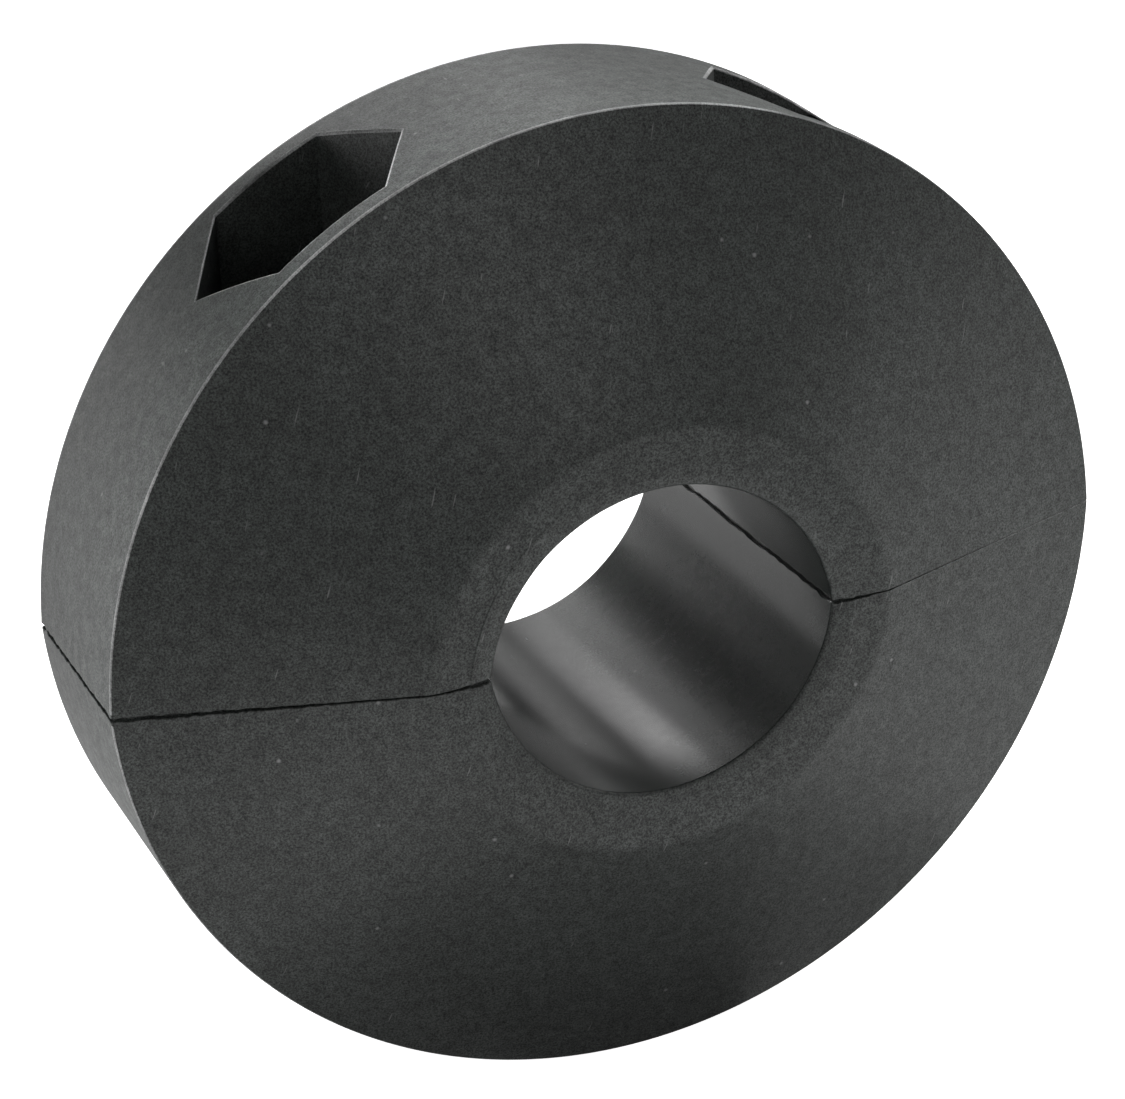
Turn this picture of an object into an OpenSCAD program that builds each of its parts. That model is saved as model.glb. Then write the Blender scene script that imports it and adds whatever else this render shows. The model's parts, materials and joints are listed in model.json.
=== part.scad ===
// Two-piece split shaft collar.
// Two identical moulded halves close round a shaft. A hexagon nut sits in each pocket of the upper half,
// and a socket head screw comes up through each pocket of the lower half into it.
// The shaft runs along Y, the halves part along Z, and the origin is the centre of the bore.

/* [Collar] */
// Diameter of the rim
collar_d = 75; // [73:0.5:80]
// Width of the rim, along the shaft
rim_w = 17; // [15.4:0.1:20]
// Width over the two hub faces, along the shaft
hub_w = 30.8; // [26:0.2:36]
// Diameter of the flat hub face round the bore
hub_face_d = 34.2; // [32:0.2:40]
// Break on the two outer edges of the rim
rim_edge = 0.3; // [0.1:0.1:1]

/* [Bore] */
// Diameter of the bore's arcs, which close on a 25.4 mm shaft
bore_d = 25.9; // [22:0.1:26.4]
// Diameter of the bevel at each mouth of the bore
mouth_d = 29.2; // [27:0.1:31]
// Depth of that bevel
mouth_depth = 0.4; // [0.1:0.1:1]
// Taken off each half at the split, so the halves can pull tight on a shaft
split_allow = 1.6; // [0.5:0.1:2]

/* [Pockets] */
// Distance between the two screws
screw_spacing = 37.8; // [37:0.1:40]
// Width across the flats of each hexagonal pocket
pocket_af = 13.2; // [13.1:0.05:14]
// Height of a pocket's floor above the split
pocket_floor = 12; // [8:0.5:13]
// Diameter of the screw hole under each pocket
screw_hole_d = 9; // [8.6:0.1:9]

/* [Fasteners] */
// Diameter of the screw's shank
screw_d = 8; // [7.9:0.05:8]
// Length of the screw under its head
screw_len = 35; // [33:0.5:36]
// Diameter of the screw's head
head_d = 12.8; // [12.4:0.1:12.9]
// Height of the screw's head
head_h = 8; // [7:0.5:8]
// Width across the flats of the hexagonal socket in the head
key_af = 6; // [5:0.5:6]
// Depth of that socket
key_depth = 4; // [3:0.5:5]
// Width across the flats of the nut
nut_af = 12.95; // [12.7:0.05:13]
// Height of the nut
nut_h = 6.8; // [6:0.1:7]
// Bore of the nut, a running fit on the screw
nut_bore_d = 8.1; // [8.06:0.02:8.2]
// Outside diameter of the spring lock washer
washer_d = 12.7; // [12:0.1:12.9]
// Inside diameter of the spring lock washer
washer_bore_d = 8.3; // [8.2:0.1:8.6]
// Thickness of the spring lock washer
washer_t = 2; // [1:0.2:2.4]

/* [Hidden] */

$fn = 96;
left = -1;
right = 1;
screw_x = screw_spacing / 2;
head_seat = pocket_floor + washer_t;
screw_end_break = 1;
head_break = 0.8;
key_tip_h = 1.2;
key_tip_clear = 0.2;
nut_face_share = 0.95;
nut_chamfer_angle = 30;
nut_entry = 0.4;
split_slit_w = 1.2;
split_slit_slant = 25;
left_turn = 20;
right_turn = 75;

// Diameter over the corners of a hexagon, from the width across its flats
function across_corners(af) = af / cos(30);

// Half section of the collar: x is the distance from the shaft's centre, y runs along the shaft
module collar_section() {
    cone_slope = (hub_w - rim_w) / (collar_d - hub_face_d);
    cone_end = rim_w / 2 + rim_edge * cone_slope;
    front_side = [
        [bore_d / 2, hub_w / 2 - mouth_depth],
        [mouth_d / 2, hub_w / 2],
        [hub_face_d / 2, hub_w / 2],
        [collar_d / 2 - rim_edge, cone_end],
        [collar_d / 2, rim_w / 2 - rim_edge]
    ];
    back_side = [for (i = [len(front_side) - 1:-1:0]) [front_side[i][0], -front_side[i][1]]];
    polygon(concat(front_side, back_side));
}

// Full turn of the section, with its centre below the split by the amount taken off there
module collar_ring() {
    translate([0, 0, -split_allow])
        rotate([90, 0, 0])
            rotate_extrude($fn = 180) collar_section();
}

// Clearance hole for a screw, through one half
module screw_hole() {
    translate([0, 0, -1]) cylinder(d = screw_hole_d, h = pocket_floor + 2);
}

// Hexagonal pocket, open at the rim, with a corner towards the bore
module hex_pocket() {
    translate([0, 0, pocket_floor]) cylinder(d = across_corners(pocket_af), h = collar_d, $fn = 6);
}

// One moulded half, above the split
module collar_half() {
    difference() {
        intersection() {
            collar_ring();
            translate([-collar_d, -hub_w, 0]) cube([2 * collar_d, 2 * hub_w, collar_d]);
        }
        for (side = [left, right]) {
            translate([side * screw_x, 0, 0]) {
                screw_hole();
                hex_pocket();
            }
        }
    }
}

// Hexagon nut with both faces chamfered, standing on z = 0
module hex_nut() {
    corner_r = across_corners(nut_af) / 2;
    face_r = nut_face_share * nut_af / 2;
    chamfer_h = (corner_r - face_r) * tan(nut_chamfer_angle);
    entry_r = nut_bore_d / 2 + nut_entry;
    difference() {
        intersection() {
            cylinder(r = corner_r, h = nut_h, $fn = 6);
            rotate_extrude() polygon([
                [0, 0], [face_r, 0], [corner_r, chamfer_h],
                [corner_r, nut_h - chamfer_h], [face_r, nut_h], [0, nut_h]
            ]);
        }
        translate([0, 0, -1]) cylinder(d = nut_bore_d, h = nut_h + 2);
        cylinder(r1 = entry_r, r2 = nut_bore_d / 2, h = nut_entry);
        translate([0, 0, nut_h - nut_entry]) cylinder(r1 = nut_bore_d / 2, r2 = entry_r, h = nut_entry);
    }
}

// Socket head cap screw, head below z = 0 and shank above it
module cap_screw() {
    difference() {
        rotate_extrude() polygon([
            [0, -head_h], [head_d / 2 - head_break, -head_h], [head_d / 2, head_break - head_h],
            [head_d / 2, 0], [screw_d / 2, 0],
            [screw_d / 2, screw_len - screw_end_break], [screw_d / 2 - screw_end_break, screw_len],
            [0, screw_len]
        ]);
        translate([0, 0, -head_h - 1]) cylinder(d = across_corners(key_af), h = key_depth + 1, $fn = 6);
        translate([0, 0, key_depth - head_h]) cylinder(d1 = key_af - key_tip_clear, d2 = 0, h = key_tip_h);
    }
}

// Spring lock washer pressed flat, split by a slanting slit, standing on z = 0
module lock_washer() {
    difference() {
        cylinder(d = washer_d, h = washer_t);
        translate([0, 0, -1]) cylinder(d = washer_bore_d, h = washer_t + 2);
        translate([washer_d / 2, 0, washer_t / 2])
            rotate([split_slit_slant, 0, 0])
                cube([washer_d, split_slit_w, 3 * washer_t], center = true);
    }
}

module upper_half() {
    color([0.17, 0.17, 0.18]) collar_half();
}

module lower_half() {
    color([0.15, 0.15, 0.16]) rotate([0, 180, 0]) collar_half();
}

module nut_in_pocket(side) {
    color([0.70, 0.71, 0.70]) translate([side * screw_x, 0, pocket_floor]) hex_nut();
}

module screw_in_half(side, turn) {
    color([0.10, 0.10, 0.11])
        translate([side * screw_x, 0, -head_seat]) rotate([0, 0, turn]) cap_screw();
}

module washer_under_head(side, turn) {
    color([0.55, 0.56, 0.56])
        translate([side * screw_x, 0, -head_seat]) rotate([0, 0, turn]) lock_washer();
}

module left_nut() { nut_in_pocket(left); }
module right_nut() { nut_in_pocket(right); }
module left_screw() { screw_in_half(left, left_turn); }
module right_screw() { screw_in_half(right, right_turn); }
module left_lock_washer() { washer_under_head(left, right_turn); }
module right_lock_washer() { washer_under_head(right, left_turn); }

upper_half();
lower_half();
left_nut();
right_nut();
left_screw();
right_screw();
left_lock_washer();
right_lock_washer();
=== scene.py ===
"""Looks of a two-piece split shaft collar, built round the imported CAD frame.

Two identical moulded halves close round a shaft along Y. Each nut sits in a pocket of the upper half, and a
socket head screw with a lock washer comes up through a pocket of the lower half. All sizes are in metres.
"""

import json
import math

import bmesh
import bpy
from mathutils import Matrix, Vector, noise


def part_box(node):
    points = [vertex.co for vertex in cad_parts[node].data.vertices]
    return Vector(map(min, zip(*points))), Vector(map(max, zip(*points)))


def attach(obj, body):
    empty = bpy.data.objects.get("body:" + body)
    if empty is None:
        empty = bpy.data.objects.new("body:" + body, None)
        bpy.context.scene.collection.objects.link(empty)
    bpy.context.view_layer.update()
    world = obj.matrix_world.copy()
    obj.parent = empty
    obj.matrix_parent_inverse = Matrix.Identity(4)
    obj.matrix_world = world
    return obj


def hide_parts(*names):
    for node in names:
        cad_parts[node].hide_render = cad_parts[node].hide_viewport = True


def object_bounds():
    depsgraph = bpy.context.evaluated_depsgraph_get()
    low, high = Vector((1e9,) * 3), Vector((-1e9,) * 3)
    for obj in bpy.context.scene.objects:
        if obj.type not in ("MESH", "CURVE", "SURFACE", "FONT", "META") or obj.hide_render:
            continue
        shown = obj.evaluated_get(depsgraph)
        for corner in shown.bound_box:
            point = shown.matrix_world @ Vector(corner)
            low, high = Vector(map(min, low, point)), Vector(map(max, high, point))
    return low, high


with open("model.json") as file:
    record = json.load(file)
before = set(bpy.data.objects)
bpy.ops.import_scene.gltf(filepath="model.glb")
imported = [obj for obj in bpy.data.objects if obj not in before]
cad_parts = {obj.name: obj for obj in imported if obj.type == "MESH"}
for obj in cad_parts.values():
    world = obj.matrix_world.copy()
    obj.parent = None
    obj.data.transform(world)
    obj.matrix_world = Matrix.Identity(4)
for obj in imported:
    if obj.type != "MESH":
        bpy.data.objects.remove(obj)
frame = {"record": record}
cad_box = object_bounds()

MM = 0.001
LEFT = -1
RIGHT = 1
SHARP_ANGLE = math.radians(35)

# ---------------------------------------------------------------- sizes that come from the frame
half_low, half_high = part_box("upper_half")
HALF_H = half_high.z
HALF_W = half_high.x
HUB_Y = half_high.y
SPLIT_CUT = (HALF_W**2 / HALF_H - HALF_H) / 2
RIM_R = HALF_H + SPLIT_CUT
BORE_R = next(m for m in frame["record"]["mounts"] if m["name"] == "shaft_bore")["dims"]["r_mm"] * MM
SCREW_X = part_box("right_nut")[1].x / 2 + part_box("right_nut")[0].x / 2
POCKET_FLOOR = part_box("right_nut")[0].z
NUT_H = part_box("right_nut")[1].z - POCKET_FLOOR
HEAD_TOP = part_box("right_screw")[0].z
SCREW_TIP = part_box("right_screw")[1].z
WASHER_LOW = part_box("right_lock_washer")[0].z
WASHER_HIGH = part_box("right_lock_washer")[1].z

# ---------------------------------------------------------------- sizes of the moulded halves
RIM_Y = 8.5 * MM
HUB_FACE_R = 17.1 * MM
MOUTH_R = 14.6 * MM
MOUTH_DEPTH = 0.4 * MM
MOUTH_UNWORN_SHARE = 0.15
RING_STEP = 0.07 * MM
RING_RISE = 0.10 * MM
RING_ROUND_SHARE = 0.35
MOUTH_ROUND = 0.25 * MM
HUB_ROUND = 2.5 * MM
RIM_ROUND = 0.12 * MM
POCKET_AF = 13.2 * MM
SCREW_HOLE_R = 4.5 * MM
POCKET_EDGE = 0.18 * MM
HOLE_EDGE = 0.25 * MM
SEAM_TOP = 0.40 * MM
SEAM_GAP = 0.005 * MM
SEAM_ROUND = 0.04 * MM
SEAM_WIDTH_MAX = 0.30 * MM
SEAM_DEPTH = 0.28 * MM
SEAM_WORN_LEAST = 0.05 * MM
SEAM_WORN_GROWTH = 0.11 * MM
SEAM_TIGHT_LEAST = 0.006 * MM
SEAM_TIGHT_GROWTH = 0.03 * MM
SEAM_BORE_WIDTH = 0.17 * MM
NICKS_PER_MM = 1.6
FINE_NICKS_PER_MM = 5
NICK_STRENGTH = 0.6
FINE_NICK_STRENGTH = 1.1
NICKED_LEAST = 0.15
WEAR_PATCHES = 9
PATCH_STRENGTH = 0.4
WEAR_LEAST = 0.05
ROWS_ROUND_HALF = 220
LEAST_ROUND = 0.01 * MM
HOLE_POINTS = 64
EDGE_STEPS = 3
MOUTH_BEND = math.radians(30)
# The band of lighter rubbed colour, partly edge wear and partly a painted highlight, runs along the rim's
# edges. The drawn-in outline of the split face crosses itself if this band is narrower than 0.21 mm.
RUBBED_AND_HIGHLIT_BAND = 0.25 * MM
RUBBED_AND_HIGHLIT_WIDTH = 0.12 * MM
RUBBED_AND_HIGHLIT_BEND = math.radians(8)
ON_SURFACE = 0.02 * MM
RIM_SKIN = 0.05 * MM

# ---------------------------------------------------------------- sizes of the fasteners
PITCH = 1.25 * MM
CREST_SHARE = 0.15
FLANK_SHARE = 0.7
THREAD_R = 3.98 * MM
THREAD_DEPTH = 0.60 * MM
THREAD_LEN = 28 * MM
NUT_AF = 12.95 * MM
NUT_BORE_R = 4.06 * MM
NUT_THREAD_DEPTH = 0.35 * MM
TIP_CHAMFER = 0.9 * MM
NUT_FACE_SHARE = 0.95
NUT_ENTRY = 0.4 * MM
HEAD_R = 6.4 * MM
HEAD_ROUND = 0.8 * MM
KNURL_DEPTH = 0.12 * MM
KNURL_FROM_ROUND = 0.3 * MM
KNURL_FROM_SEAT = 0.7 * MM
KNURL_RUN_OUT = 0.25 * MM
SEAT_EDGE = 0.15 * MM
NECK_ROUND = 0.12 * MM
KEY_AF = 6.0 * MM
KEY_DEPTH = 4.0 * MM
KEY_TIP = 1.2 * MM
KEY_MOUTH_R = 3.62 * MM
KEY_MOUTH_DEPTH = 0.35 * MM
WASHER_R = 6.35 * MM
WASHER_BORE_R = 4.15 * MM
WASHER_EDGE = 0.18 * MM
WASHER_SLIT = 1.2 * MM
WASHER_SLANT = math.radians(25)
RING_POINTS = 96
ROWS_PER_PITCH = 8


# ================================================================ mesh helpers
def new_piece(name, mesh):
    """Object made from a mesh and linked to the scene."""
    piece = bpy.data.objects.new(name, mesh)
    bpy.context.scene.collection.objects.link(piece)
    return piece


def mesh_from(name, bm):
    """Mesh made from a finished bmesh, with all its faces turned outwards."""
    bmesh.ops.recalc_face_normals(bm, faces=bm.faces)
    mesh = bpy.data.meshes.new(name)
    bm.to_mesh(mesh)
    bm.free()
    return mesh


def finish_piece(piece, body, node, material):
    """Shades a piece smooth up to its sharp edges, and lets it stand for its CAD node on that node's body."""
    piece.name = "detailed_" + node
    piece.data.polygons.foreach_set("use_smooth", [True] * len(piece.data.polygons))
    piece.data.set_sharp_from_angle(angle=SHARP_ANGLE)
    weighted = piece.modifiers.new("face_weighted_normals", "WEIGHTED_NORMAL")
    weighted.keep_sharp = True
    if material:
        piece.data.materials.append(material)
    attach(piece, body)
    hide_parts(node)


def cut_away(piece, cutters):
    """Takes each cutter out of a piece, and removes the cutters."""
    for cutter in cutters:
        cut = piece.modifiers.new("cut", "BOOLEAN")
        cut.operation = "DIFFERENCE"
        cut.solver = "EXACT"
        cut.object = cutter
    evaluated = piece.evaluated_get(bpy.context.evaluated_depsgraph_get())
    mesh = bpy.data.meshes.new_from_object(evaluated)
    piece.modifiers.clear()
    piece.data = mesh
    for cutter in cutters:
        bpy.data.objects.remove(cutter)


def prism(name, points, low, high):
    """Upright solid with a flat outline, used to cut a hole."""
    bm = bmesh.new()
    bottom = bm.faces.new([bm.verts.new((x, y, low)) for x, y in points])
    top = bmesh.ops.extrude_face_region(bm, geom=[bottom])["geom"]
    moved = [v for v in top if isinstance(v, bmesh.types.BMVert)]
    bmesh.ops.translate(bm, verts=moved, vec=(0, 0, high - low))
    return new_piece(name, mesh_from(name, bm))


def circle(centre_x, radius, count, start=0.0):
    """Points round a circle in the XY plane."""
    turns = [start + 2 * math.pi * i / count for i in range(count)]
    return [(centre_x + radius * math.cos(a), radius * math.sin(a)) for a in turns]


def skin(name, rings, ends):
    """Solid skinned over rings of points. Its ends are "points" (one-point rings), "joined" or "flat"."""
    bm = bmesh.new()
    loops = [[bm.verts.new(p) for p in ring] for ring in rings]
    pairs = list(zip(loops, loops[1:]))
    if ends == "joined":
        pairs.append((loops[-1], loops[0]))
    if ends == "flat":
        bm.faces.new(loops[0])
        bm.faces.new(loops[-1])
    for low, high in pairs:
        count = max(len(low), len(high))
        for i in range(count):
            corners = [
                low[i % len(low)],
                low[(i + 1) % len(low)],
                high[(i + 1) % len(high)],
                high[i % len(high)],
            ]
            bm.faces.new(list(dict.fromkeys(corners)))
    return new_piece(name, mesh_from(name, bm))


# ================================================================ moulded halves
def section_corners(mouth_wear):
    """Corners of the collar's section: radius, place along, rounding, its steps, and fine points after it.

    Fine points only break up the long edges where a half meets the split. The back mirrors the front.
    """
    cone_slope = (HUB_Y - RIM_Y) / (RIM_R - HUB_FACE_R)
    face_y = HUB_Y - RING_STEP
    cone_r = HUB_FACE_R + RING_STEP / cone_slope
    step = RING_STEP * mouth_wear
    step_round = RING_ROUND_SHARE * step
    mouth_depth = MOUTH_DEPTH * (MOUTH_UNWORN_SHARE + (1 - MOUTH_UNWORN_SHARE) * mouth_wear)
    front = [
        (BORE_R, HUB_Y - mouth_depth, MOUTH_ROUND, 4, 5),
        (MOUTH_R, face_y + step, step_round, 2, 0),
        (MOUTH_R + RING_RISE, face_y, step_round, 2, 8),
        (cone_r, face_y, HUB_ROUND, 4, 70),
        (RIM_R, RIM_Y, RIM_ROUND, 4, 2),
        (RIM_R, RIM_Y - RUBBED_AND_HIGHLIT_BAND, 0.0, 0, 52),
    ]
    fine_back = [corner[-1] for corner in front[:-1]][::-1] + [40]
    back = [(r, -y, *rounding, fine) for (r, y, *rounding, _), fine in zip(front[::-1], fine_back)]
    return front + back


def section(inset, mouth_wear):
    """Outline of the collar's section drawn in by inset, as (radius, along, is it a main point) all round."""
    corners = section_corners(mouth_wear)
    count = len(corners)
    spots = [Vector((r, y)) for r, y, *_ in corners]
    ways = [(spots[(i + 1) % count] - spots[i]).normalized() for i in range(count)]
    outward = [Vector((-w.y, w.x)) for w in ways]
    arcs = []
    for i, (_, _, rounding, steps, _) in enumerate(corners):
        if steps == 0:
            arcs.append([spots[i] - inset * outward[i]])
            continue
        before, after = outward[i - 1], outward[i]
        spot = spots[i] - inset * (before + after) / (1 + before.dot(after))
        turn = ways[i - 1].angle_signed(ways[i])
        radius = max(rounding - math.copysign(inset, turn), LEAST_ROUND)
        reach = radius * math.tan(abs(turn) / 2)
        start = spot - ways[i - 1] * reach
        centre = start - before * math.copysign(radius, turn)
        arm = start - centre
        arcs.append([centre + Matrix.Rotation(-turn * k / steps, 2) @ arm for k in range(steps + 1)])
    points = []
    for i, arc in enumerate(arcs):
        points += [(p.x, p.y, True) for p in arc]
        following = arcs[(i + 1) % count][0]
        fine = corners[i][-1]
        for k in range(1, fine + 1):
            p = arc[-1].lerp(following, k / (fine + 1))
            points.append((p.x, p.y, False))
    return points


def row_places():
    """Shares of the way round a half where its rows lie, so that a row meets each corner of the pockets."""
    start = math.asin((SPLIT_CUT + SEAM_TOP) / RIM_R)
    corner_r = POCKET_AF / 2 / math.cos(math.pi / 6)
    corner_x = [side * SCREW_X + f * corner_r for side in (LEFT, RIGHT) for f in (-1, -0.5, 0.5, 1)]
    marks = [(math.acos(-x / RIM_R) - start) / (math.pi - 2 * start) for x in sorted(corner_x)]
    marks = [0.0] + marks + [1.0]
    places = [0.0]
    for low, high in zip(marks, marks[1:]):
        steps = max(1, round((high - low) * ROWS_ROUND_HALF))
        places += [low + (high - low) * (k + 1) / steps for k in range(steps)]
    return places


def mouth_wear_at(share, seed):
    """How worn the bore's mouth is, from 0 to 1: most near the split, and patchy round the rest."""
    patches = noise.noise(Vector((WEAR_PATCHES * share, seed, 0.5)))
    near_split = abs(2 * share - 1) ** 3
    return min(1.0, max(WEAR_LEAST, near_split + PATCH_STRENGTH * patches))


def seam_width(side, r, y, worn_side, seed):
    """Height of the broken edge along the split, which is nicked all along and widest at its worn side."""
    along = max(0.0, (r - HUB_FACE_R) / (RIM_R - HUB_FACE_R))
    into_hub = min(1.0, max(0.0, (HUB_FACE_R - r) / (HUB_FACE_R - BORE_R)))
    if side == worn_side:
        width = SEAM_WORN_LEAST + SEAM_WORN_GROWTH * along**1.5
    else:
        width = SEAM_TIGHT_LEAST + SEAM_TIGHT_GROWTH * (1 - along) ** 2
    width = max(width, SEAM_BORE_WIDTH * into_hub)
    x_mm, y_mm = side * r / MM, y / MM
    nick = noise.noise(Vector((x_mm * NICKS_PER_MM, y_mm * NICKS_PER_MM, seed)))
    fine_nick = noise.noise(Vector((x_mm * FINE_NICKS_PER_MM, y_mm * FINE_NICKS_PER_MM, seed + 7)))
    nicked = max(NICKED_LEAST, 1 + NICK_STRENGTH * nick + FINE_NICK_STRENGTH * fine_nick)
    return min(SEAM_WIDTH_MAX, width * nicked)


def place(side, r, y, z):
    """Point of the upper half at a radius and a height above the split."""
    return Vector((side * math.sqrt(r * r - (SPLIT_CUT + z) ** 2), y, z))


def body_row(bm, share, seed):
    """One row of vertices over the half, at a share of the way from its left end to its right end."""
    row = []
    for r, y, is_main in section(0.0, mouth_wear_at(share, seed)):
        if is_main:
            start = math.asin((SPLIT_CUT + SEAM_TOP) / r)
            turn = start + (math.pi - 2 * start) * share
            row.append(bm.verts.new((-r * math.cos(turn), y, r * math.sin(turn) - SPLIT_CUT)))
    return row


def seam_rows(bm, side, worn_side, seed):
    """Four fine rows that break the outline of a split face, the last one lying round the flat face."""
    share = 0.0 if side == LEFT else 1.0
    wear = mouth_wear_at(share, seed)
    full = section(0.0, wear)
    drawn_in = section(SEAM_DEPTH, wear)
    rows = [[], [], [], []]
    for (r, y, _), (r_in, y_in, _) in zip(full, drawn_in):
        width = seam_width(side, r, y, worn_side, seed)
        # Each spot is a height above the gap, and a share of the way in to the flat face.
        spots = [(width + SEAM_ROUND, 0.0), (width, SEAM_ROUND / SEAM_DEPTH), (0.8 * width, 0.95), (0.0, 1.0)]
        for row, (height, share_in) in zip(rows, spots):
            spot = place(side, r + (r_in - r) * share_in, y + (y_in - y) * share_in, SEAM_GAP + height)
            row.append(bm.verts.new(spot))
    main = [i for i, (_, _, is_main) in enumerate(full) if is_main]
    return rows, main


def half_mesh(name, worn_side, seed):
    """Upper half as a closed mesh, before its pockets are cut."""
    bm = bmesh.new()
    rows = [body_row(bm, share, seed) for share in row_places()]
    count = len(rows[0])
    for low, high in zip(rows, rows[1:]):
        for i in range(count):
            j = (i + 1) % count
            bm.faces.new((low[i], low[j], high[j], high[i]))
    for side, body in ((LEFT, rows[0]), (RIGHT, rows[-1])):
        seam, main = seam_rows(bm, side, worn_side, seed)
        fine_count = len(seam[0])
        for i in range(count):
            j = (i + 1) % count
            span = (main[j] - main[i]) % fine_count
            between = [seam[0][(main[i] + k) % fine_count] for k in range(span + 1)]
            bm.faces.new([body[i]] + between + [body[j]])
        for outer, inner in zip(seam, seam[1:]):
            for i in range(fine_count):
                j = (i + 1) % fine_count
                bm.faces.new((outer[i], outer[j], inner[j], inner[i]))
        bm.faces.new(seam[-1])
    return mesh_from(name, bm)


def pocket_cutters(side):
    """Hexagonal pocket with a corner towards the bore, and the screw hole under it."""
    corner_r = POCKET_AF / 2 / math.cos(math.pi / 6)
    pocket = prism("pocket_cutter", circle(side * SCREW_X, corner_r, 6), POCKET_FLOOR, RIM_R + RIM_Y)
    outline = circle(side * SCREW_X, SCREW_HOLE_R, HOLE_POINTS)
    hole = prism("hole_cutter", outline, -SCREW_HOLE_R, POCKET_FLOOR + MM)
    return [pocket, hole]


def soften_edges(mesh, chosen, width):
    """Rounds off the edges for which chosen(edge) is true."""
    bm = bmesh.new()
    bm.from_mesh(mesh)
    edges = [e for e in bm.edges if chosen(e)]
    bmesh.ops.bevel(
        bm, geom=edges, offset=width, offset_type="OFFSET", segments=EDGE_STEPS, profile=0.5,
        affect="EDGES", clamp_overlap=True,
    )
    bm.to_mesh(mesh)
    bm.free()


def is_pocket_mouth(edge):
    """True for an edge between a pocket's wall and the rim."""
    if len(edge.link_faces) != 2:
        return False
    on_rim = all(abs(math.hypot(v.co.x, v.co.z + SPLIT_CUT) - RIM_R) < ON_SURFACE for v in edge.verts)
    over_pocket = all(v.co.z > POCKET_FLOOR and abs(v.co.y) < RIM_Y - MM for v in edge.verts)
    return on_rim and over_pocket and edge.calc_face_angle(0.0) > MOUTH_BEND


def is_hole_mouth(edge):
    """True for an edge between a screw hole and the split face."""
    def from_axis(v):
        return math.hypot(abs(v.co.x) - SCREW_X, v.co.y)
    on_face = all(abs(v.co.z - SEAM_GAP) < ON_SURFACE for v in edge.verts)
    return on_face and all(from_axis(v) < SCREW_HOLE_R + ON_SURFACE for v in edge.verts)


def is_rubbed_and_highlit(face):
    """True for a face that gets the lighter rubbed colour, partly edge wear and partly a painted highlight:
    on the band along an edge of the rim, or on the rounded mouth of a pocket.
    """
    middle = face.calc_center_median()
    if middle.z < SEAM_TOP or math.hypot(middle.x, middle.z + SPLIT_CUT) < RIM_R - RUBBED_AND_HIGHLIT_BAND:
        return False
    if abs(middle.y) > RIM_Y - RUBBED_AND_HIGHLIT_BAND:
        return True
    if middle.z < POCKET_FLOOR:
        return False
    lengths = [e.calc_length() for e in face.edges]
    bends = [e.calc_face_angle(0.0) for e in face.edges]
    return face.calc_area() < RUBBED_AND_HIGHLIT_WIDTH * max(lengths) and max(bends) > RUBBED_AND_HIGHLIT_BEND


def paint_half(mesh):
    """Gives a half its materials: a smoother bore, rubbed edges that are partly worn and partly a painted
    highlight, and a rim with painted light, lighter at the front and darker at the back.
    """
    mesh.materials.clear()
    for material in (OUTSIDE_PLASTIC, BORE_PLASTIC, WORN_AND_HIGHLIT_EDGE_PLASTIC, RIM_PAINTED_LIGHT_PLASTIC):
        mesh.materials.append(material)
    bm = bmesh.new()
    bm.from_mesh(mesh)
    for face in bm.faces:
        middle = face.calc_center_median()
        from_shaft = math.hypot(middle.x, middle.z + SPLIT_CUT)
        if from_shaft < BORE_R + ON_SURFACE:
            face.material_index = 1
        elif is_rubbed_and_highlit(face):
            face.material_index = 2
        elif from_shaft > RIM_R - RIM_SKIN:
            face.material_index = 3
        else:
            face.material_index = 0
    bm.to_mesh(mesh)
    bm.free()


def collar_half(node, body, turned, seed):
    """One moulded half. The lower one is the same moulding turned half a turn round the shaft."""
    worn_side = RIGHT if turned else LEFT
    piece = new_piece(node, half_mesh(node, worn_side, seed))
    cut_away(piece, pocket_cutters(LEFT) + pocket_cutters(RIGHT))
    soften_edges(piece.data, is_pocket_mouth, POCKET_EDGE)
    soften_edges(piece.data, is_hole_mouth, HOLE_EDGE)
    paint_half(piece.data)
    if turned:
        piece.data.transform(Matrix.Rotation(math.pi, 4, "Y"))
    finish_piece(piece, body, node, None)


# ================================================================ fasteners
TURNS = [2 * math.pi * i / RING_POINTS for i in range(RING_POINTS)]


def hexagon(across_flats):
    """Radii of a hexagon's outline, one for each ring point, with a corner at the first."""
    return [across_flats / 2 / math.cos(turn % (math.pi / 3) - math.pi / 6) for turn in TURNS]


def thread(crest_r, depth, start, z):
    """Radii of a right-hand thread, which rises from root to crest and falls back once in each pitch."""
    radii = []
    for turn in TURNS:
        from_crest = abs(2 * ((z / PITCH - (start + turn) / (2 * math.pi)) % 1.0) - 1)
        radii.append(crest_r - depth * min(1.0, max(0.0, (from_crest - CREST_SHARE) / FLANK_SHARE)))
    return radii


def ring(axis_x, start, z, radii):
    """Ring of points round a screw's axis at a height. A radius of 0 gives one point, on the axis."""
    if radii == 0:
        return [(axis_x, 0.0, z)]
    if not isinstance(radii, list):
        radii = [radii] * RING_POINTS
    return [
        (axis_x + r * math.cos(start + turn), r * math.sin(start + turn), z)
        for r, turn in zip(radii, TURNS)
    ]


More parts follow.
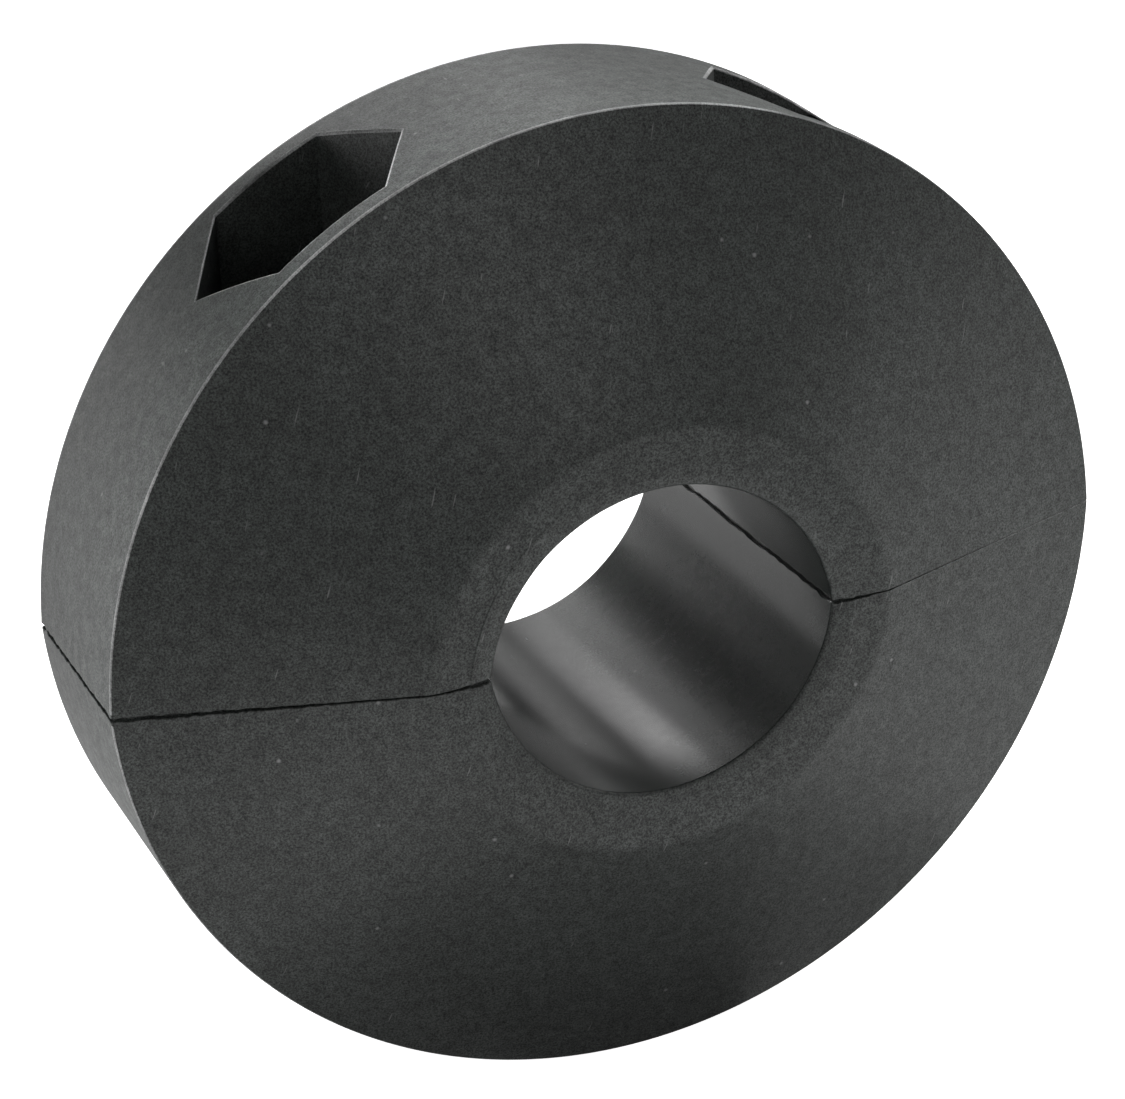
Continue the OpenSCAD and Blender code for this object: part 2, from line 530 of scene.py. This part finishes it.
def head_rows():
    """Rows of a socket head, from the bottom of its key socket out over the knurled side to the seat."""
    key_low = HEAD_TOP + KEY_DEPTH
    rows = [(0, key_low + KEY_TIP), (KEY_AF / 2 - 0.1 * MM, key_low), (hexagon(KEY_AF), key_low)]
    rows += [(hexagon(KEY_AF), HEAD_TOP + KEY_MOUTH_DEPTH), (KEY_MOUTH_R, HEAD_TOP)]
    for k in range(5):
        bend = math.pi / 2 * k / 4
        inwards = HEAD_ROUND * (1 - math.sin(bend))
        upwards = HEAD_ROUND * (1 - math.cos(bend))
        rows.append((HEAD_R - inwards, HEAD_TOP + upwards))
    grooves = [HEAD_R - KNURL_DEPTH * (i % 2) for i in range(RING_POINTS)]
    plain_r = HEAD_R - KNURL_DEPTH
    knurl_high = WASHER_LOW - KNURL_FROM_SEAT
    rows += [(grooves, HEAD_TOP + HEAD_ROUND + KNURL_FROM_ROUND), (grooves, knurl_high)]
    rows += [(plain_r, knurl_high + KNURL_RUN_OUT), (plain_r, WASHER_LOW - SEAT_EDGE)]
    rows += [(plain_r - SEAT_EDGE, WASHER_LOW), (THREAD_R + NECK_ROUND, WASHER_LOW)]
    return rows


def shank_rows(start):
    """Rows of a screw's shank: plain under the head, then threaded up to a chamfered tip."""
    thread_low = SCREW_TIP - THREAD_LEN
    rows = [(THREAD_R, WASHER_LOW + NECK_ROUND), (THREAD_R, thread_low)]
    count = round(THREAD_LEN / PITCH * ROWS_PER_PITCH)
    for i in range(1, count + 1):
        z = thread_low + THREAD_LEN * i / count
        chamfer_r = THREAD_R - TIP_CHAMFER + SCREW_TIP - z
        depth = THREAD_DEPTH * min(1.0, i / ROWS_PER_PITCH)
        rows.append(([min(chamfer_r, r) for r in thread(THREAD_R, depth, start, z)], z))
    rows.append((0, SCREW_TIP))
    return rows


def cap_screw(name, body, side, start):
    """Socket head cap screw, head down, with a knurled head and a cut thread."""
    rows = head_rows() + shank_rows(start)
    rings = [ring(side * SCREW_X, start, z, radii) for radii, z in rows]
    finish_piece(skin(name, rings, "points"), body, name, BLACK_STEEL)


def hex_nut(name, body, side):
    """Hexagon nut with both faces chamfered. Its threaded bore clears its screw, so it can slide off."""
    low, high = POCKET_FLOOR, POCKET_FLOOR + NUT_H
    face_r = NUT_FACE_SHARE * NUT_AF / 2
    slope = math.tan(math.radians(30))
    chamfer_h = (NUT_AF / 2 / math.cos(math.pi / 6) - face_r) * slope
    rows = []
    count = round(NUT_H / PITCH * ROWS_PER_PITCH)
    for i in range(count + 1):
        z = low + NUT_H * i / count
        entry_r = NUT_BORE_R + NUT_ENTRY - min(z - low, high - z)
        thread_radii = thread(NUT_BORE_R + NUT_THREAD_DEPTH, NUT_THREAD_DEPTH, 0.0, z)
        rows.append(([max(entry_r, r) for r in thread_radii], z))
    heights = [chamfer_h * k / 4 for k in range(5)]
    for z in [high - h for h in heights] + [low + h for h in reversed(heights)]:
        chamfer_r = face_r + min(z - low, high - z) / slope
        rows.append(([min(chamfer_r, r) for r in hexagon(NUT_AF)], z))
    rings = [ring(side * SCREW_X, 0.0, z, radii) for radii, z in rows]
    finish_piece(skin(name, rings, "joined"), body, name, ZINC_PLATE)


def lock_washer(name, body, side, start):
    """Spring lock washer pressed flat, with broken edges and slanting ends."""
    low, high, edge = WASHER_LOW, WASHER_HIGH, WASHER_EDGE
    inner, outer = WASHER_BORE_R, WASHER_R
    outline = [
        (inner + edge, low), (inner, low + edge), (inner, high - edge), (inner + edge, high),
        (outer - edge, high), (outer, high - edge), (outer, low + edge), (outer - edge, low),
    ]
    rings = []
    for i in range(RING_POINTS + 1):
        points = []
        for r, z in outline:
            gap = WASHER_SLIT / 2 / math.cos(WASHER_SLANT) / r
            lean = ((low + high) / 2 - z) * math.tan(WASHER_SLANT) / r
            turn = start + lean + gap + (2 * math.pi - 2 * gap) * i / RING_POINTS
            points.append((side * SCREW_X + r * math.cos(turn), r * math.sin(turn), z))
        rings.append(points)
    finish_piece(skin(name, rings, "flat"), body, name, SPRING_STEEL)


# ================================================================ materials
NOISE_LOW = 0.35
NOISE_HIGH = 0.65
CLOUDS_PER_M = 90.0
GRAINS_PER_M = 7000.0
LUMPS_PER_M = 1100.0
SPECKS_PER_M = 250.0
SCRATCH_SIZE = (0.25 * MM, 2 * MM, 3 * MM)
SCRATCH_LEAN = 0.35
GRAIN_HEIGHT = 0.008 * MM
MARK_COLOUR = (0.22, 0.22, 0.22, 1)
# Painted light on the rim: its colour is multiplied by these, from lighter at the front edge to a little
# darker at the back edge.
RIM_PAINTED_LIGHT_FRONT = 2.4
RIM_PAINTED_SHADE_BACK = 0.9


class Nodes:
    """A material's node tree, with short calls that add a node and join it up."""

    def __init__(self, name):
        self.material = bpy.data.materials.new(name)
        self.material.use_nodes = True
        self.tree = self.material.node_tree
        self.shader = self.tree.nodes["Principled BSDF"]

    def add(self, kind, settings=None, **inputs):
        """Adds a node. Settings are its own properties; an input is a value or another node's output."""
        node = self.tree.nodes.new("ShaderNode" + kind)
        for key, value in (settings or {}).items():
            setattr(node, key, value)
        for key, value in inputs.items():
            self.join(node.inputs[key.replace("_", " ")], value)
        return node

    def join(self, socket, value):
        """Sets a socket, or links it if the value is another node's output."""
        if isinstance(value, bpy.types.NodeSocket):
            self.tree.links.new(value, socket)
        else:
            socket.default_value = value

    def set(self, name, value):
        """Sets or links one of the shader's inputs."""
        self.join(self.shader.inputs[name], value)


def ramp(n, source, low, low_colour, high, high_colour):
    """Colour that runs from one colour to another as a value goes from low to high."""
    node = n.add("ValToRGB", Fac=source)
    for element, position, colour in zip(node.color_ramp.elements, (low, high), (low_colour, high_colour)):
        element.position = position
        element.color = (*colour, 1)
    return node.outputs["Color"]


def scaled(n, colour, source, start, end, first, last):
    """Colour multiplied by an amount that runs from first to last as a value runs from start to end."""
    amount = n.add("MapRange", Value=source, From_Min=start, From_Max=end, To_Min=first, To_Max=last)
    settings = {"blend_type": "MULTIPLY"}
    return n.add("MixRGB", settings, Fac=1.0, Color1=colour, Color2=amount.outputs["Result"]).outputs["Color"]


def shaded(n, colour, source, spread):
    """Colour made darker and lighter by a noise, by up to a share either way."""
    return scaled(n, colour, source, NOISE_LOW, NOISE_HIGH, 1 - spread, 1 + spread)


def marked(n, colour, source, start, end, strength):
    """Colour with pale marks where a value runs from start to end."""
    mark = n.add("MapRange", Value=source, From_Min=start, From_Max=end, To_Min=0.0, To_Max=strength)
    return n.add("MixRGB", Fac=mark.outputs["Result"], Color1=colour, Color2=MARK_COLOUR).outputs["Color"]


def moulded_plastic(name, roughness, dark, light, texture, has_painted_rim_light=False):
    """Black moulded plastic with cloudy colour and, scaled by its texture, grain, specks and scratches."""
    n = Nodes(name)
    place_on = n.add("TexCoord").outputs["Object"]
    clouds = n.add("TexNoise", Vector=place_on, Scale=CLOUDS_PER_M, Detail=3.0, Roughness=0.6).outputs["Fac"]
    grain = n.add("TexNoise", Vector=place_on, Scale=GRAINS_PER_M, Detail=2.0, Roughness=0.75).outputs["Fac"]
    coarse = n.add("TexNoise", Vector=place_on, Scale=LUMPS_PER_M, Detail=3.0, Roughness=0.6).outputs["Fac"]
    dust = n.add("TexVoronoi", Vector=place_on, Scale=SPECKS_PER_M).outputs["Distance"]
    drawn_out = n.add(
        "Mapping", {"vector_type": "TEXTURE"}, Vector=place_on,
        Rotation=(0, SCRATCH_LEAN, 0), Scale=SCRATCH_SIZE,
    )
    lines = n.add("TexNoise", Vector=drawn_out.outputs["Vector"], Scale=1.0, Detail=1.0).outputs["Fac"]
    colour = ramp(n, clouds, NOISE_LOW, dark, NOISE_HIGH, light)
    colour = shaded(n, colour, grain, 0.65 * texture)
    colour = shaded(n, colour, coarse, 0.3 * texture)
    # Painted light: the rim's colour is made lighter towards the front and a little darker towards the back.
    if has_painted_rim_light:
        along = n.add("SeparateXYZ", Vector=place_on).outputs["Y"]
        colour = scaled(n, colour, along, -RIM_Y, RIM_Y, RIM_PAINTED_LIGHT_FRONT, RIM_PAINTED_SHADE_BACK)
    colour = marked(n, colour, dust, 0.05, 0.015, 0.8 * texture)
    colour = marked(n, colour, lines, 0.77, 0.82, 0.5 * texture)
    n.set("Base Color", colour)
    shine = n.add(
        "MapRange", Value=grain, From_Min=NOISE_LOW, From_Max=NOISE_HIGH,
        To_Min=0.5 - 0.22 * texture, To_Max=0.5 + 0.22 * texture,
    )
    n.set("Specular IOR Level", shine.outputs["Result"])
    rough = n.add(
        "MapRange", Value=coarse, From_Min=NOISE_LOW, From_Max=NOISE_HIGH,
        To_Min=roughness + 0.03 * texture, To_Max=roughness - 0.03 * texture,
    )
    n.set("Roughness", rough.outputs["Result"])
    bump = n.add("Bump", Strength=0.5 * texture, Distance=GRAIN_HEIGHT, Height=grain)
    n.set("Normal", bump.outputs["Normal"])
    return n.material


def worked_steel(name, dark, light, roughness):
    """Steel with a mottled finish, fine tool marks and a little variation in its gloss."""
    n = Nodes(name)
    place_on = n.add("TexCoord").outputs["Object"]
    blotches = n.add("TexNoise", Vector=place_on, Scale=700.0, Detail=4.0, Roughness=0.65)
    marks = n.add("TexNoise", Vector=place_on, Scale=6000.0, Detail=2.0)
    rough = n.add(
        "MapRange", Value=blotches.outputs["Fac"], From_Min=0.3, From_Max=0.7,
        To_Min=roughness + 0.08, To_Max=roughness - 0.06,
    )
    bump = n.add("Bump", Strength=0.2, Distance=0.01 * MM, Height=marks.outputs["Fac"])
    n.set("Base Color", ramp(n, blotches.outputs["Fac"], NOISE_LOW, dark, NOISE_HIGH, light))
    n.set("Metallic", 1.0)
    n.set("Roughness", rough.outputs["Result"])
    n.set("Normal", bump.outputs["Normal"])
    return n.material


# ================================================================ camera, lights and floor
CAMERA_AZIMUTH = -22.51
CAMERA_ELEVATION = 24.15
CAMERA_DISTANCE = 6.558 * RIM_R
CAMERA_ROLL = math.radians(-2.72)
CAMERA_AIM = Vector((-0.0209, 0.0186, 0.0206)) * RIM_R
LENS_MM = 109.18
SENSOR_MM = 36.0
GLOW_STEPS = 16
GLOW_DROP = 0.05 * MM
ROOM_HALF = 40 * RIM_R


def direction(azimuth, elevation):
    """Unit vector towards an azimuth and an elevation in degrees. Azimuth 0 is in front of the seen face."""
    around, up = math.radians(azimuth), math.radians(elevation)
    return Vector((math.sin(around) * math.cos(up), -math.cos(around) * math.cos(up), math.sin(up)))


def add_camera():
    """Camera at the photograph's viewing angle."""
    data = bpy.data.cameras.new("camera")
    data.lens = LENS_MM
    data.sensor_width = SENSOR_MM
    data.clip_start = 0.1 * RIM_R
    data.clip_end = 100 * RIM_R
    camera = bpy.data.objects.new("camera", data)
    bpy.context.scene.collection.objects.link(camera)
    away = direction(CAMERA_AZIMUTH, CAMERA_ELEVATION)
    turn = (-away).to_track_quat("-Z", "Y").to_matrix().to_4x4()
    roll = Matrix.Rotation(CAMERA_ROLL, 4, "Z")
    camera.matrix_world = Matrix.Translation(CAMERA_AIM + away * CAMERA_DISTANCE) @ turn @ roll
    bpy.context.scene.camera = camera


def add_soft_light(name, azimuth, elevation, distance, size, brightness):
    """Square soft light that looks at the collar. Its distance and size are in rim radii."""
    data = bpy.data.lights.new(name, "AREA")
    data.shape = "SQUARE"
    data.size = size * RIM_R
    data.energy = math.pi * data.size**2 * brightness
    light = bpy.data.objects.new(name, data)
    bpy.context.scene.collection.objects.link(light)
    away = direction(azimuth, elevation)
    light.location = away * distance * RIM_R
    light.rotation_euler = (-away).to_track_quat("-Z", "Y").to_euler()
    light.visible_camera = False


def add_table_glow(name, azimuth, inner, outer, brightness):
    """Quarter of a ring of lit table top, centred on an azimuth. Its two radii are in rim radii."""
    bm = bmesh.new()
    rows = []
    for i in range(GLOW_STEPS + 1):
        around = direction(azimuth + 90 * (i / GLOW_STEPS - 0.5), 0)
        spots = [around * radius * RIM_R for radius in (inner, outer)]
        rows.append([bm.verts.new((spot.x, spot.y, cad_box[0].z - GLOW_DROP)) for spot in spots])
    for (a, b), (c, d) in zip(rows, rows[1:]):
        bm.faces.new((a, b, d, c))
    glow = new_piece(name, mesh_from(name, bm))
    n = Nodes(name)
    n.set("Base Color", (0, 0, 0, 1))
    n.set("Emission Color", (1, 1, 1, 1))
    n.set("Emission Strength", brightness)
    glow.data.materials.append(n.material)
    glow.visible_camera = False


def add_floor():
    """Plain pale floor under the collar, with pale walls and a ceiling far away. It gives no light."""
    bm = bmesh.new()
    bmesh.ops.create_cube(bm, size=2 * ROOM_HALF)
    bmesh.ops.translate(bm, verts=bm.verts, vec=(0, 0, cad_box[0].z + ROOM_HALF))
    floor = new_piece("floor", mesh_from("floor", bm))
    n = Nodes("pale_floor")
    n.set("Base Color", (0.9, 0.9, 0.9, 1))
    n.set("Roughness", 0.9)
    n.set("Emission Color", (1, 1, 1, 1))
    n.set("Emission Strength", 1.0)
    floor.data.materials.append(n.material)
    floor.visible_diffuse = False
    floor.visible_glossy = False
    floor.visible_shadow = False


def add_room():
    """Even pale light from all round, and a plain view of the colours."""
    world = bpy.data.worlds.new("room")
    world.use_nodes = True
    background = world.node_tree.nodes["Background"]
    background.inputs["Color"].default_value = (1, 1, 1, 1)
    background.inputs["Strength"].default_value = 0.02
    bpy.context.scene.world = world
    bpy.context.scene.view_settings.view_transform = "Standard"


# ================================================================ the collar
PLASTIC_DARK = (0.021, 0.024, 0.022)
PLASTIC_LIGHT = (0.028, 0.032, 0.030)
# The lighter rubbed colour is partly edge wear and partly a painted highlight along the rim's edges and the
# pockets' mouths.
RUBBED_AND_HIGHLIGHT_DARK = (0.060, 0.063, 0.062)
RUBBED_AND_HIGHLIGHT_LIGHT = (0.440, 0.445, 0.443)
OUTSIDE_PLASTIC = moulded_plastic("moulded_plastic", 0.5, PLASTIC_DARK, PLASTIC_LIGHT, 1.0)
BORE_PLASTIC = moulded_plastic("bore_plastic", 0.24, PLASTIC_DARK, PLASTIC_LIGHT, 0.35)
# The rim carries painted light, lighter towards the front.
RIM_PAINTED_LIGHT_PLASTIC = moulded_plastic("rim_plastic_painted_light", 0.5, PLASTIC_DARK, PLASTIC_LIGHT, 1.0, has_painted_rim_light=True)
# The rubbed edges carry edge wear and a painted highlight.
WORN_AND_HIGHLIT_EDGE_PLASTIC = moulded_plastic("rubbed_edges_and_painted_highlight", 0.45, RUBBED_AND_HIGHLIGHT_DARK, RUBBED_AND_HIGHLIGHT_LIGHT, 0.6)
BLACK_STEEL = worked_steel("black_oxide", (0.035, 0.034, 0.035), (0.075, 0.073, 0.072), 0.38)
ZINC_PLATE = worked_steel("zinc_plate", (0.52, 0.54, 0.55), (0.68, 0.69, 0.68), 0.36)
SPRING_STEEL = worked_steel("phosphated_spring_steel", (0.26, 0.26, 0.26), (0.42, 0.42, 0.41), 0.45)

collar_half("upper_half", "upper_half", False, 3.0)
collar_half("lower_half", "lower_half", True, 11.0)
for side, word, start, washer_start in ((LEFT, "left", 20, 75), (RIGHT, "right", 75, 20)):
    hex_nut(word + "_nut", word + "_nut", side)
    cap_screw(word + "_screw", word + "_screw", side, math.radians(start))
    lock_washer(word + "_lock_washer", word + "_screw", side, math.radians(washer_start))

add_camera()
add_floor()
add_room()
add_soft_light("back_window", 180, 15, 6, 1.5, 9.0)
add_soft_light("high_back_window", 180, 30, 6, 1.5, 1.15)
add_soft_light("low_back_window", 195, 2, 6, 1.5, 7.4)
add_soft_light("back_right_window", 165, 30, 6, 1.5, 2.3)
add_soft_light("far_right_window", 150, 15, 6, 1.5, 0.9)
add_soft_light("top_back_light", 150, 60, 6, 2.8, 6.6)
add_soft_light("left_back_light", -120, 0, 6, 2.8, 3.8)
add_soft_light("right_light", 90, 30, 6, 2.8, 9.0)
add_soft_light("bore_card", 165, 31.6, 1.81, 0.3, 2.6)
add_soft_light("front_card", 0, 30, 2.3, 1.2, 1.6)
add_soft_light("left_card", -60, 30, 2.3, 1.2, 1.45)
add_soft_light("right_card", 60, 0, 2.3, 1.2, 1.25)
add_table_glow("front_table", 0, 1.0, 3.5, 1.5)
add_table_glow("left_table", -90, 1.0, 3.5, 1.0)
add_table_glow("right_table", 90, 1.0, 3.5, 1.1)
add_table_glow("back_table", 180, 1.0, 6.0, 0.9)
add_table_glow("far_back_table", 180, 6.0, 40.0, 1.05)
add_table_glow("near_front_table", 0, 0.1, 1.0, 0.18)
add_table_glow("near_left_table", -90, 0.1, 1.0, 0.27)
add_table_glow("near_right_table", 90, 0.1, 1.0, 0.47)
